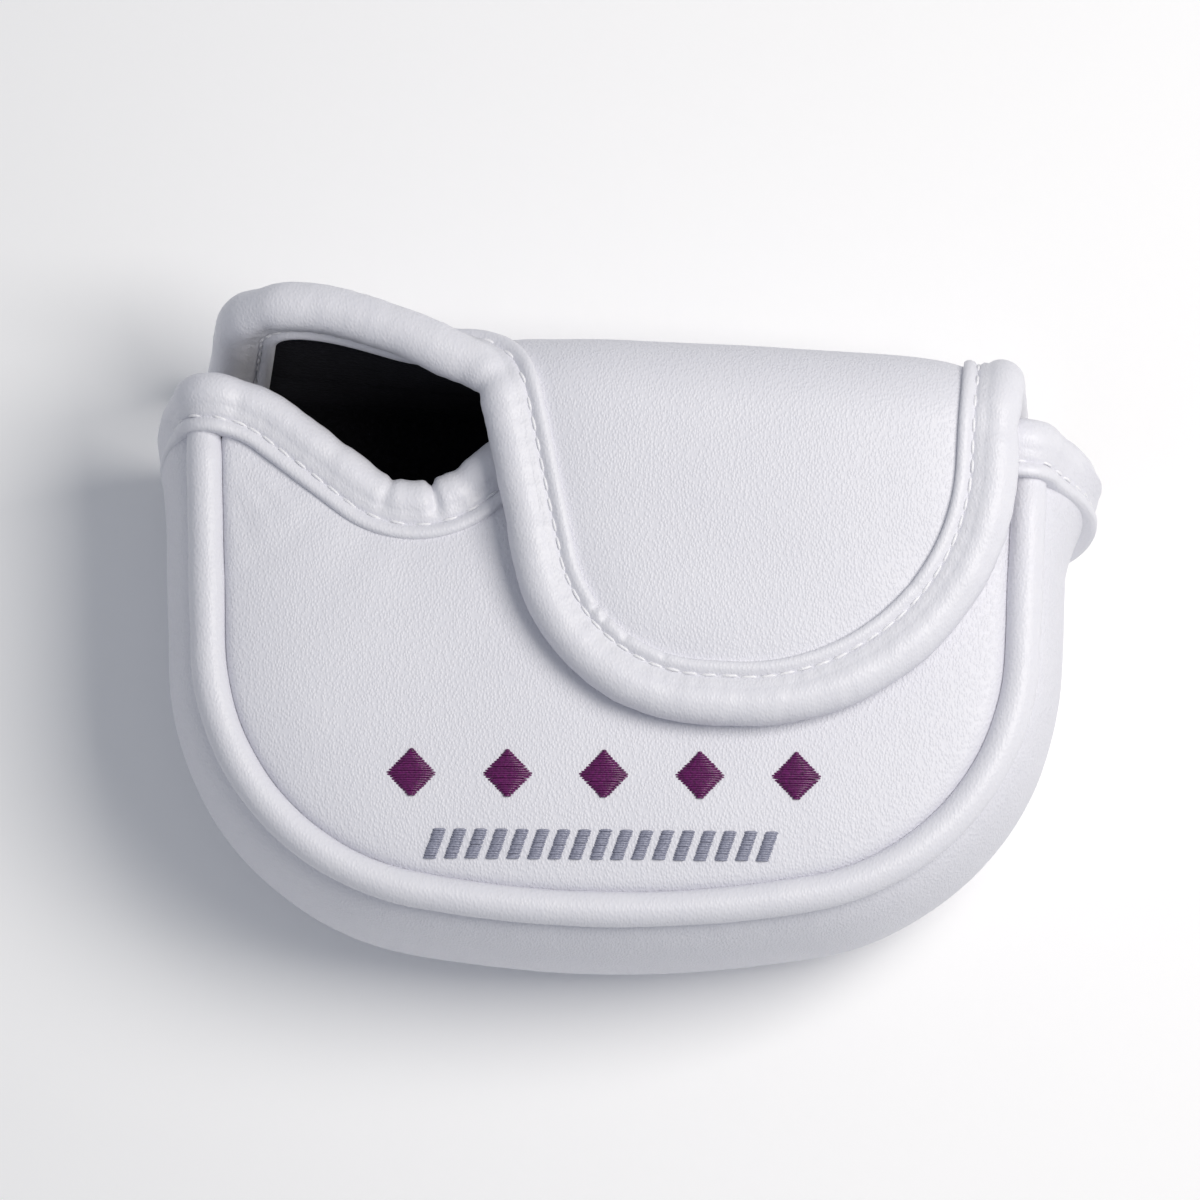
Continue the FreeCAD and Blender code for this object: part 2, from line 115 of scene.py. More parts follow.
def evenly(line, step):
    # the same line with its points one step apart
    gaps = np.linalg.norm(np.diff(line, axis=0), axis=1)
    at = np.concatenate([[0], np.cumsum(gaps)])
    count = max(2, int(round(at[-1] / step)))
    goal = np.linspace(0, at[-1], count + 1)
    return np.stack([np.interp(goal, at, line[:, i]) for i in range(line.shape[1])], axis=1)


def lengths(line):
    return np.concatenate([[0], np.cumsum(np.linalg.norm(np.diff(line, axis=0), axis=1))])


def distanceTo(points, line):
    # from each flat point to a flat line
    a, b = line[:-1], line[1:]
    ab = b - a
    best = np.full(len(points), 1e9)
    for start in range(0, len(points), 2000):
        p = points[start:start + 2000, None, :]
        t = np.clip(((p - a) * ab).sum(-1) / np.maximum((ab * ab).sum(-1), 1e-12), 0, 1)
        gap = np.linalg.norm(p - (a + t[..., None] * ab), axis=-1)
        best[start:start + 2000] = gap.min(axis=1)
    return best


def inside(points, ring):
    x, y = points[:, 0:1], points[:, 1:2]
    x0, y0 = ring[:, 0], ring[:, 1]
    x1, y1 = np.roll(x0, -1), np.roll(y0, -1)
    crosses = ((y0 > y) != (y1 > y)) & (x < (x1 - x0) * (y - y0) / np.where(y1 == y0, 1e-9, y1 - y0) + x0)
    return crosses.sum(axis=1) % 2 == 1


def cutSheet(ring, spacing=1.6, rows=(0.5, 1.1, 1.9)):
    # a flat sheet with a closed outline, as triangles: finer rows of points run along the edge
    ring = np.array(ring)
    area = 0.5 * np.sum(ring[:, 0] * np.roll(ring[:, 1], -1) - np.roll(ring[:, 0], -1) * ring[:, 1])
    if area < 0:
        ring = ring[::-1]
    closed = np.vstack([ring, ring[:1]])
    along = unit(np.roll(ring, -1, axis=0) - np.roll(ring, 1, axis=0))
    inwards = np.stack([-along[:, 1], along[:, 0]], axis=1)
    free = []
    for row in rows:
        p = ring + inwards * row
        keep = inside(p, ring) & (distanceTo(p, closed) > row * 0.93)
        free.append(p[keep])
    low, high = ring.min(axis=0), ring.max(axis=0)
    rise = spacing * math.sqrt(3) / 2
    grid = []
    for j in range(int((high[1] - low[1]) / rise) + 2):
        xs = np.arange(low[0], high[0] + spacing, spacing) + (spacing / 2 if j % 2 else 0)
        grid.append(np.stack([xs, np.full(len(xs), low[1] + j * rise)], axis=1))
    grid = np.vstack(grid)
    grid = grid[inside(grid, ring)]
    free.append(grid[distanceTo(grid, closed) > rows[-1] + spacing * 0.55])
    points = np.vstack([ring] + free)
    count = len(ring)
    edges = [(i, (i + 1) % count) for i in range(count)]
    flat = [Vector((float(x), float(y))) for x, y in points]
    verts, _, faces, *_ = delaunay_2d_cdt(flat, edges, [], 1, 1e-5)
    return np.array([tuple(v) for v in verts]), [tuple(f) for f in faces]


def turned(faces):
    # the same faces seen from the other side
    return [face[::-1] for face in faces]


def joined(parts):
    points, faces, base = [], [], 0
    for p, f in parts:
        points.append(p)
        faces.extend(tuple(i + base for i in face) for face in f)
        base += len(p)
    return np.vstack(points), faces


def makePiece(name, points, faces, material, thickness=0.0):
    # a thin sheet is thickened inwards, away from its face
    mesh = bpy.data.meshes.new(name)
    mesh.from_pydata((np.asarray(points) * mm).tolist(), [], faces)
    mesh.validate()
    piece = bpy.data.objects.new(name, mesh)
    bpy.context.scene.collection.objects.link(piece)
    mesh.materials.append(material)
    if thickness:
        shell = piece.modifiers.new("thickness", "SOLIDIFY")
        shell.thickness = thickness * mm
        shell.offset = -1.0
        applyModifiers(piece)
    piece.data.shade_smooth()
    piece.data.set_sharp_from_angle(angle=math.radians(75))
    return piece


def applyModifiers(piece):
    bpy.context.view_layer.update()
    solid = bpy.data.meshes.new_from_object(piece.evaluated_get(bpy.context.evaluated_depsgraph_get()))
    old = piece.data
    piece.modifiers.clear()
    piece.data = solid
    solid.name = piece.name
    bpy.data.meshes.remove(old)


def sweep(path, outs, ups, profiles):
    # a closed profile in (out, up), one per station or one for all, carried along a path
    count = len(path)
    profiles = np.broadcast_to(profiles, (count,) + np.shape(profiles)[-2:])
    rings = path[:, None, :] + profiles[..., 0:1] * outs[:, None, :] + profiles[..., 1:2] * ups[:, None, :]
    m = rings.shape[1]
    faces = []
    for i in range(count - 1):
        for j in range(m):
            k = (j + 1) % m
            faces.append((i * m + j, i * m + k, (i + 1) * m + k, (i + 1) * m + j))
    faces.append(tuple(range(m - 1, -1, -1)))
    faces.append(tuple((count - 1) * m + j for j in range(m)))
    return rings.reshape(-1, 3), faces


# the foam under a panel pushes its leather up between the seams, and the sewn-in slack gathers beside them
stuffing = {"pressure": 35.0, "slack": 0.0006, "frames": 20, "bending": 30.0, "tension": 15.0}


def stuffed(flat, faces, held, cap):
    # a cloth simulation of the flat sheet, held at its seams: how far each point rises, in mm
    mesh = bpy.data.meshes.new("stuffing")
    mesh.from_pydata((flatPoints(flat) * mm).tolist(), [], faces)
    sheet = bpy.data.objects.new("stuffing", mesh)
    bpy.context.scene.collection.objects.link(sheet)
    group = sheet.vertex_groups.new(name="held")
    group.add([int(i) for i in np.nonzero(held)[0]], 1.0, "REPLACE")
    cloth = sheet.modifiers.new("stuffing", "CLOTH")
    cloth.settings.quality = 6
    cloth.settings.mass = 0.2
    cloth.settings.tension_stiffness = cloth.settings.compression_stiffness = stuffing["tension"]
    cloth.settings.bending_stiffness = stuffing["bending"]
    cloth.settings.shrink_min = -stuffing["slack"]
    cloth.settings.vertex_group_mass = "held"
    cloth.settings.use_pressure = True
    cloth.settings.uniform_pressure_force = stuffing["pressure"]
    cloth.settings.effector_weights.gravity = 0.0
    cloth.collision_settings.use_collision = False
    cloth.point_cache.frame_start, cloth.point_cache.frame_end = 1, stuffing["frames"]
    for step in range(1, stuffing["frames"] + 1):
        bpy.context.scene.frame_set(step)
    puffy = sheet.evaluated_get(bpy.context.evaluated_depsgraph_get()).data
    rise = np.array([v.co.z for v in puffy.vertices]) / mm
    bpy.data.objects.remove(sheet)
    bpy.data.meshes.remove(mesh)
    bpy.context.scene.frame_set(1)
    print("  stuffed a panel, rise", round(float(rise.min()), 2), "to", round(float(rise.max()), 2), "mm")
    return cap * np.tanh(np.maximum(rise, 0) / cap)


def alongOf(path):
    along = np.empty_like(path)
    along[1:-1] = path[2:] - path[:-2]
    along[0], along[-1] = path[1] - path[0], path[-1] - path[-2]
    return unit(along)


# colours and materials

def linear(hexValue):
    parts = [int(hexValue[i:i + 2], 16) / 255 for i in (1, 3, 5)]
    return [c / 12.92 if c <= 0.04045 else ((c + 0.055) / 1.055) ** 2.4 for c in parts] + [1.0]


def addNode(material, kind, settings=None, **links):
    # one node, with its settings, its input values and its links
    node = material.node_tree.nodes.new(kind)
    for key, value in (settings or {}).items():
        if hasattr(node, key):
            setattr(node, key, value)
        else:
            node.inputs[key].default_value = value
    for key, source in links.items():
        material.node_tree.links.new(source, node.inputs[key.replace("_", " ")])
    return node


def newMaterial(name, values):
    material = bpy.data.materials.new(name)
    material.use_nodes = True
    shader = material.node_tree.nodes["Principled BSDF"]
    for key, value in values.items():
        shader.inputs[key].default_value = value
    return material, shader


def setRamp(ramp, stops):
    elements = ramp.color_ramp.elements
    while len(elements) < len(stops):
        elements.new(0.5)
    for element, (place, colour) in zip(elements, stops):
        element.position = place
        element.color = colour


# polyurethane leather: a foamed knit cast on embossed paper, then wiped satin. The emboss is a fine pebble
# drawn out along Y, so highlights are soft and wide and break up into short streaks.
grainedLeather = {
    "colour": "#E2E2E9", "patch": "#DDDDE5", "grainMm": (0.40, 0.62, 0.62), "depthMm": 0.11, "strength": 0.6,
    "poreMm": 0.22, "creaseMm": 9.0, "creaseDepthMm": 0.10, "roughness": 0.45,
}

# the same leather pulled tight over cord or foam strip: the pebble is stretched nearly flat, so it shines
# a little more
tightLeather = {
    "colour": "#E4E4EA", "patch": "#DFDFE7", "grainMm": (0.42, 0.68, 0.68), "depthMm": 0.08, "strength": 0.5,
    "poreMm": 0.22, "creaseMm": 3.2, "creaseDepthMm": 0.14, "roughness": 0.43,
}


def makeLeather(name, look):
    material, shader = newMaterial(name, {
        "Roughness": look["roughness"], "IOR": 1.5, "Specular IOR Level": 0.42, "Coat Weight": 0.05,
        "Coat Roughness": 0.35, "Subsurface Weight": 0.06, "Subsurface Scale": 0.0015,
        "Subsurface Radius": (1.0, 0.95, 0.9),
    })
    link = material.node_tree.links.new
    place = addNode(material, "ShaderNodeTexCoord").outputs["Object"]
    drawn = addNode(material, "ShaderNodeVectorMath", {"operation": "MULTIPLY"})
    link(place, drawn.inputs[0])
    drawn.inputs[1].default_value = [1 / (size * mm) for size in look["grainMm"]]
    pebble = addNode(material, "ShaderNodeTexVoronoi",
                     {"feature": "SMOOTH_F1", "Scale": 1.0, "Smoothness": 0.35, "Randomness": 1.0},
                     Vector=drawn.outputs[0])
    dome = addNode(material, "ShaderNodeMapRange",
                   {"interpolation_type": "SMOOTHSTEP", "From Min": 0.7, "From Max": 0.1},
                   Value=pebble.outputs["Distance"])
    pores = addNode(material, "ShaderNodeTexNoise", {"Scale": 1 / (look["poreMm"] * mm), "Detail": 2.0},
                    Vector=place)
    height = addNode(material, "ShaderNodeMath", {"operation": "MULTIPLY_ADD"})
    link(pores.outputs["Fac"], height.inputs[0])
    height.inputs[1].default_value = 0.35
    link(dome.outputs["Result"], height.inputs[2])
    crease = addNode(material, "ShaderNodeTexNoise",
                     {"Scale": 1 / (look["creaseMm"] * mm), "Detail": 3.0, "Distortion": 0.4}, Vector=place)
    soft = addNode(material, "ShaderNodeBump", {"Strength": 0.5, "Distance": look["creaseDepthMm"] * mm},
                   Height=crease.outputs["Fac"])
    bump = addNode(material, "ShaderNodeBump",
                   {"Strength": look["strength"], "Distance": look["depthMm"] * mm},
                   Height=height.outputs[0], Normal=soft.outputs["Normal"])
    link(bump.outputs["Normal"], shader.inputs["Normal"])
    tint = addNode(material, "ShaderNodeMix", {"data_type": "RGBA"})
    tint.inputs[6].default_value = linear(look["colour"])
    tint.inputs[7].default_value = linear(look["patch"])
    link(crease.outputs["Fac"], tint.inputs[0])
    link(tint.outputs[2], shader.inputs["Base Color"])
    return material


# the second colour is painted light on the pile's raised tufts
blackPlushLook = {"colour": "#0B0B0E", "paintedTuftLight": "#1B1B20", "tuftMm": 0.9}


def makeBlackPlush():
    # short knitted polyester pile: it swallows light, with a faint grey bloom where the pile turns away. Its
    # raised tufts are painted a lighter grey and the hollows between them stay black, a painted light and
    # shade
    look = blackPlushLook
    material, shader = newMaterial("blackPolyesterPlush", {
        "Roughness": 0.95, "IOR": 1.45, "Specular IOR Level": 0.2,
        "Sheen Weight": 0.35, "Sheen Roughness": 0.5, "Sheen Tint": linear("#55555E"),
    })
    place = addNode(material, "ShaderNodeTexCoord").outputs["Object"]
    tuft = addNode(material, "ShaderNodeTexNoise",
                   {"Scale": 1 / (look["tuftMm"] * mm), "Detail": 4.0, "Roughness": 0.7}, Vector=place)
    # painted light and shade: the bump's raised tufts get the lighter colour, its hollows the black
    ramp = addNode(material, "ShaderNodeValToRGB", Fac=tuft.outputs["Fac"])
    setRamp(ramp, [(0.35, linear(look["colour"])), (0.75, linear(look["paintedTuftLight"]))])
    material.node_tree.links.new(ramp.outputs["Color"], shader.inputs["Base Color"])
    bump = addNode(material, "ShaderNodeBump", {"Strength": 0.9, "Distance": 0.4 * mm},
                   Height=tuft.outputs["Fac"])
    material.node_tree.links.new(bump.outputs["Normal"], shader.inputs["Normal"])
    return material


def makeThread(name, colour, shade, roughness):
    # trilobal polyester thread: two twisted plies, glossy along their length. The low spots between the plies
    # are painted in the darker shade colour, a painted shade
    material, shader = newMaterial(name, {
        "Roughness": roughness, "IOR": 1.54, "Specular IOR Level": 0.5,
        "Sheen Weight": 0.12, "Sheen Roughness": 0.4, "Sheen Tint": linear(colour),
    })
    place = addNode(material, "ShaderNodeTexCoord").outputs["Object"]
    plies = addNode(material, "ShaderNodeTexNoise", {"Scale": 1 / (0.35 * mm), "Detail": 2.0}, Vector=place)
    # painted shade: the darker colour goes where the ply bump is lowest, the thread's own colour where it is
    # highest
    ramp = addNode(material, "ShaderNodeValToRGB", Fac=plies.outputs["Fac"])
    setRamp(ramp, [(0.3, linear(shade)), (0.7, linear(colour))])
    material.node_tree.links.new(ramp.outputs["Color"], shader.inputs["Base Color"])
    bump = addNode(material, "ShaderNodeBump", {"Strength": 0.6, "Distance": 0.06 * mm},
                   Height=plies.outputs["Fac"])
    material.node_tree.links.new(bump.outputs["Normal"], shader.inputs["Normal"])
    return material


def makeNickel():
    # nickel plate on a pressed magnet: bright, with a faint tumbled haze
    material, shader = newMaterial("tumbledNickelPlate", {
        "Base Color": linear("#C9C7C0"), "Metallic": 1.0, "Roughness": 0.28,
    })
    place = addNode(material, "ShaderNodeTexCoord").outputs["Object"]
    haze = addNode(material, "ShaderNodeTexNoise", {"Scale": 1 / (0.5 * mm), "Detail": 3.0}, Vector=place)
    bump = addNode(material, "ShaderNodeBump", {"Strength": 0.2, "Distance": 0.02 * mm},
                   Height=haze.outputs["Fac"])
    material.node_tree.links.new(bump.outputs["Normal"], shader.inputs["Normal"])
    return material


grained = makeLeather("whiteGrainedPuLeather", grainedLeather)
tight = makeLeather("whitePuLeatherPulledTight", tightLeather)
plush = makeBlackPlush()
# the second colour of each thread is its painted shade between the plies
whiteThread = makeThread("whitePolyesterThread", "#F3F3F5", "#E2E2E8", 0.5)
purpleThread = makeThread("purpleEmbroideryThread", "#701566", "#430A3E", 0.34)
greyThread = makeThread("greyLilacEmbroideryThread", "#A4A6B8", "#7C7E90", 0.36)
nickel = makeNickel()
print("materials ready")


# the seam outline, from the heel's mouth corner round the end to the toe's

def halfWidthAt(y):
    return pouch["halfWidth"] - (pouch["widthY"] - y) * math.tan(math.radians(pouch["sideLean"]))


def seamOutline(step=1.5, sidePoints=46):
    # flat points, outward normals, and for the straight sides the share of the way up to the mouth
    lean, r, big = math.radians(pouch["sideLean"]), pouch["cornerRadius"], pouch["endRadius"]
    outward = np.array([-math.cos(lean), -math.sin(lean)])
    down = np.array([math.sin(lean), -math.cos(lean)])
    endCentre = np.array([0, pouch["endY"] + big])
    level = outward @ np.array([-pouch["halfWidth"], pouch["widthY"]]) - r
    q = outward * level - endCentre
    fall = down @ q
    corner = outward * level + down * (math.sqrt(fall ** 2 - q @ q + (big - r) ** 2) - fall)
    toCorner = unit(corner - endCentre)
    a0 = math.atan2(outward[1], outward[0]) % (2 * math.pi)
    a1 = math.atan2(toCorner[1], toCorner[0]) % (2 * math.pi)
    points, normals, share = [], [], []
    lowY = (corner + outward * r)[1]
    for i in range(sidePoints):
        points.append((0.0, lowY))
        normals.append(outward)
        share.append(-1.0 + i / sidePoints)
    n = int(r * (a1 - a0) / step)
    for i in range(n):
        a = a0 + (a1 - a0) * i / n
        d = np.array([math.cos(a), math.sin(a)])
        points.append(corner + d * r)
        normals.append(d)
        share.append(0.0)
    n = int(big * (1.5 * math.pi - a1) / step)
    for i in range(n + 1):
        a = a1 + (1.5 * math.pi - a1) * i / n
        d = np.array([math.cos(a), math.sin(a)])
        points.append(endCentre + d * big)
        normals.append(d)
        share.append(0.0)
    points, normals, share = np.array(points), np.array(normals), np.array(share)
    flip = np.array([-1.0, 1.0])
    points = np.vstack([points, points[:-1][::-1] * flip])
    normals = np.vstack([normals, normals[:-1][::-1] * flip])
    share = np.concatenate([share, -share[:-1][::-1]])
    return points, normals, share, lowY


outlinePoints, outlineNormals, outlineShare, sideLowY = seamOutline()


def mouthY(side, z):
    # where the slanted mouth cuts the gusset at a height
    corner, sole = ("heelCornerY", "heelSoleY") if side < 0 else ("toeCornerY", "toeSoleY")
    slope = (pouch[corner] - pouch[sole]) / (pouch["crownBeadZ"] - 3.75)
    return pouch[sole] + slope * (z - 3.75)


def outlineAt(z, out=0.0):
    # the outline at a height, its straight sides reaching to the mouth there
    points = outlinePoints.copy()
    for side in (-1, 1):
        on = outlineShare * side > 0
        reach = np.abs(outlineShare[on])
        y = sideLowY + reach * (mouthY(side, z) - sideLowY)
        points[on] = np.stack([side * halfWidthAt(y), y], axis=1)
    return points + outlineNormals * np.reshape(out, (-1, 1))


def flareAt(side, y):
    middle = mouthY(side, 23.3)
    t = np.clip((y - (middle - pouch["flareLength"])) / pouch["flareLength"], 0, 3)
    return (pouch["heelFlare"] if side < 0 else pouch["toeFlare"]) * t ** 1.5


# the mouth edge, heel sole corner first

def bowedCorner(low, high, out):
    half = math.atan(1.5 * abs(out) / (np.linalg.norm(high - low) / 2))
    return (low + high) / 2 + np.array([1.5 * out, 0, 0]), 0.5 * abs(out) / (1 / math.cos(half) - 1)


mouthLook = {
    "heelBend": (-57.0, 34.0), "notch": (-32.0, 15.0), "notchEnd": (-10.0, 32.6),
    "radii": (5.0, 20.0, 14.0, 18.0, 5.0),
    # where the binding's roll is creased, x and y, then the crease's width and depth
    "creases": ((-36.5, 20.2, 0.9, 0.13), (-29.0, 19.3, 0.8, 0.30), (-24.0, 21.8, 1.4, 0.07),
                (-46.0, 26.0, 1.6, 0.06), (-60.5, 35.0, 1.8, 0.07)),
}


def mouthLine(step=0.5):
    mid = pouch["height"] - pouch["halfStack"]
    swell = pouch["gussetSwell"] - 0.75
    ends = []
    for side, corner, sole, flare in ((-1, "heelCornerY", "heelSoleY", "heelFlare"),
                                      (1, "toeCornerY", "toeSoleY", "toeFlare")):
        low = np.array([side * (halfWidthAt(pouch[sole]) + 2.8), pouch[sole], 3.75])
        high = np.array([side * (halfWidthAt(pouch[corner]) + 2.8), pouch[corner], pouch["crownBeadZ"]])
        ends.append((low, high) + bowedCorner(low, high, side * (swell + pouch[flare])))
    heel, toe = ends
    middle = [np.array(mouthLook[corner] + (mid,)) for corner in ("heelBend", "notch", "notchEnd")]
    corners = [heel[0], heel[2], heel[1]] + middle + [toe[1], toe[2], toe[0]]
    radii = [heel[3]] + list(mouthLook["radii"]) + [toe[3]]
    return evenly(roundedLine(corners, radii, step), step)


mouthPath = mouthLine()


# the tongue's sheet: from (x across, s along) to its place

bendLength = tongue["bendRadius"] * math.pi / 2
wallStart = bendLength
foldStart = wallStart + tongue["wallTop"] - tongue["wallLow"]
flapStart = foldStart + bendLength


def toWorld(points):
    a = math.radians(tongue["slant"])
    x, y = points[..., 0], points[..., 1] - tongue["hingeY"]
    return np.stack([x * math.cos(a) + y * math.sin(a), tongue["hingeY"] - x * math.sin(a) + y * math.cos(a),
                     points[..., 2]], axis=-1)


def toTongue(points):
    a = math.radians(tongue["slant"])
    x, y = points[..., 0], points[..., 1] - tongue["hingeY"]
    return np.stack([x * math.cos(a) - y * math.sin(a),
                     tongue["hingeY"] + x * math.sin(a) + y * math.cos(a)], axis=-1)


def middleSheet(x, s):
    # the middle of the sheet: flat sole, bend, wall with its heel lip, fold and flap
    r, hingeY, half = tongue["bendRadius"], tongue["hingeY"], pouch["halfStack"]
    low = np.clip(s, 0, bendLength) / r
    y = hingeY + np.minimum(s, 0) + r * np.sin(low)
    z = tongue["wallLow"] - r * np.cos(low) + np.clip(s - wallStart, 0, foldStart - wallStart)
    z = np.where(s < 0, half, z)
    share = smooth(tongue["foldStartX"], tongue["foldFullX"], x)
    over = np.clip(s - foldStart, 0, bendLength)
    turn = np.maximum(share, 1e-4) * over / r
    wide = r / np.maximum(share, 1e-4)
    y = y - wide * (1 - np.cos(turn))
    z = z + wide * np.sin(turn)
    y = y - np.maximum(s - flapStart, 0)
    settled = smooth(flapStart + tongue["settleFrom"], flapStart + tongue["settleTo"], s)
    z = z - tongue["flapSettle"] * settled  # its end settles on the crown
    climb = np.clip((s - wallStart) / (foldStart + 6 - wallStart), 0, 1.2) ** 1.5
    y = y + tongue["lipOut"] * smooth(tongue["lipStartX"], tongue["lipFullX"], x) * climb * (s < flapStart)
    return np.stack([x, y, z], axis=-1)


def sheetAt(flat, rise):
    # the sheet's points, lifted along its outward normal
    x, s = flat[:, 0], flat[:, 1]
    e = 0.05
    across = middleSheet(x + e, s) - middleSheet(x - e, s)
    up = middleSheet(x, s + e) - middleSheet(x, s - e)
    normal = unit(np.cross(up, across))
    return toWorld(middleSheet(x, s) + normal * np.reshape(rise, (-1, 1)))


tongueEdge = {
    "soleX": (-63.4, 63.1), "lipEnd": (-61.0, 48.6), "lipRoot": (-19.6, 52.7), "flapHeelX": -18.0,
    "heelSlant": 14.4, "flapToeX": 60.5, "flapEndY": -13.2, "wallToeX": 62.6,
    "radii": (10.0, 9.0, 28.0, 40.0),
    # where its roll is creased and its ridge is kinked, x and s, then width and depth
    "creases": ((-19.5, 55.5, 1.6, 0.16), (-58.5, 49.0, 2.2, 0.10), (-14.0, 76.5, 2.0, 0.05),
                (60.4, 58.5, 2.0, 0.10)),
    "kinks": ((-3.8, 93.0, 0.7, 0.8), (-2.5, 95.6, 0.8, 0.7), (1.4, 98.6, 0.9, 0.6), (9.0, 101.5, 0.8, 0.3),
              (50.0, 86.0, 0.9, 0.25)),
}


def tongueLine(step=0.5):
    # its bound edge in (x, s), from the heel's sole corner round the flap to the toe's
    end = flapStart + tongue["hingeY"] - tongueEdge["flapEndY"]
    heelX = tongueEdge["flapHeelX"] + (end - flapStart) * math.tan(math.radians(tongueEdge["heelSlant"]))
    starts = []
    for x, side in zip(tongueEdge["soleX"], (-1, 1)):
        y = pouch["heelSoleY" if side < 0 else "toeSoleY"]
        starts.append(toTongue(np.array([[x, y, 0.0]]))[0][1] - tongue["hingeY"])
    heelSoleX, toeSoleX = tongueEdge["soleX"]
    toeX = tongueEdge["flapToeX"]
    corners = [(heelSoleX, starts[0]), (heelSoleX, bendLength), tongueEdge["lipEnd"], tongueEdge["lipRoot"],
               (heelX, end), (toeX, end), (toeX, flapStart), (tongueEdge["wallToeX"], wallStart),
               (toeSoleX, 0.0), (toeSoleX, starts[1])]
    radii = [60.0] + list(tongueEdge["radii"]) + [60.0, 60.0, 60.0]
    return evenly(roundedLine(corners, radii, step), step)


tonguePath = tongueLine()
print("layout ready")


# panels

panelLook = {
    "edgeSink": 1.4, "edgeReach": 0.45, "pillow": 1.1, "pillowReach": 6.0, "unevenness": 0.22,
    "boundSink": 0.75, "boundSeat": 5.5, "boundReach": 3.0, "leather": 1.2, "lining": 1.3,
}


def seamSink(gap):
    # how far a panel's face rolls down towards a piped seam
    look = panelLook
    edge = look["edgeSink"] * np.exp(-gap / look["edgeReach"])
    return -edge - look["pillow"] * np.exp(-gap / look["pillowReach"])


def boundSink(gap):
    # and towards a bound edge, where the binding's stitches pinch the foam
    look = panelLook
    return -look["boundSink"] * np.exp(-np.maximum(gap - look["boundSeat"], 0) / look["boundReach"])


def liningTuck(gap):
    # a lining is pinched towards the leather by the same stitches
    return -1.3 * boundSink(gap)


def crownRing(inset):
    seam = outlineAt(pouch["crownBeadZ"], -inset)
    crownPart = mouthPath[mouthPath[:, 2] > pouch["crownBeadZ"] - 0.8]
    reach = np.interp(crownPart[:, 1], [0, 60], [halfWidthAt(0), halfWidthAt(60)]) - inset - 0.4
    return seam, crownPart[np.abs(crownPart[:, 0]) < reach, :2]


# tension folds that fan out from the mouth's corners: start, end, width and depth
crownFolds = [
    ((-60.0, 31.0), (-46.0, 17.0), 4.0, 0.5), ((-62.8, 30.0), (-46.0, 22.0), 0.9, 0.42),
    ((-62.6, 28.6), (-49.0, 18.5), 1.0, 0.40), ((-62.4, 27.0), (-53.0, 15.0), 1.1, 0.34),
    ((-60.0, 29.5), (-50.0, 24.6), 0.7, 0.32), ((-62.0, 24.0), (-57.0, 8.0), 1.6, 0.25),
    ((-52.0, 26.5), (-36.0, 12.5), 2.2, 0.25), ((-24.0, 16.5), (-14.0, 5.0), 2.4, 0.25),
    ((61.5, 22.0), (53.0, 4.0), 2.4, 0.28), ((62.0, 24.0), (57.5, 10.0), 1.2, 0.24),
]


def foldDepth(flat, folds):
    # shallow troughs along short lines, fading at both ends
    depth = np.zeros(len(flat))
    for start, end, width, deep in folds:
        a, b = np.array(start), np.array(end)
        t = ((flat - a) @ (b - a)) / ((b - a) @ (b - a))
        gap = np.linalg.norm(flat - (a + np.clip(t, 0, 1)[:, None] * (b - a)), axis=1)
        fade = np.clip(1 - np.abs(2 * t - 1), 0, 1) ** 0.6
        depth -= deep * np.exp(-(gap / width) ** 2) * np.where((t > 0) & (t < 1), fade, 0)
    return depth


def makeCrown():
    seam, edge = crownRing(-0.1)
    ring = np.vstack([seam, edge[::-1]])
    flat, faces = cutSheet(ring, 1.2)
    gapSeam = distanceTo(flat, seam)
    gapEdge = distanceTo(flat, edge)
    # the folds fade where the crown is sewn down
    calm = smooth(0.2, 1.6, gapSeam) * (0.4 + 0.6 * smooth(5.8, 9.0, gapEdge))
    rise = seamSink(gapSeam) + boundSink(gapEdge) + foldDepth(flat, crownFolds) * calm
    rise = rise + stuffed(flat, faces, (gapSeam < 0.4) | (gapEdge < panelLook["boundSeat"]), 1.3)
    rise = rise + panelLook["unevenness"] * ripple(flatPoints(flat), 22.0, 3) * smooth(2, 12, gapSeam)
    top = np.column_stack([flat, pouch["height"] + 0.35 + rise])
    panel = makePiece("crownLeather", top, faces, grained, panelLook["leather"])
    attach(panel, "shell")
    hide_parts("crown_panel", "crown_foam")
    seam, edge = crownRing(0.6)
    flat, faces = cutSheet(np.vstack([seam, edge[::-1]]), 2.6, (1.2,))
    underside = pouch["height"] - 2 * pouch["halfStack"] + 0.1
    low = np.column_stack([flat, underside + liningTuck(distanceTo(flat, edge))])
    lining = makePiece("crownLining", low, turned(faces), plush, panelLook["lining"])
    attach(lining, "shell")
    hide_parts("crown_lining")
    return panel


crownPanel = makeCrown()
print("crown ready")


gussetLook = {
    "rows": 40, "liningRows": 12, "unevenness": 0.25, "puckers": 0.16, "puckerPitch": 4.6,
    "pillow": 1.1, "pillowReach": 4.5, "groove": 3.2, "grooveReach": 2.0,
}


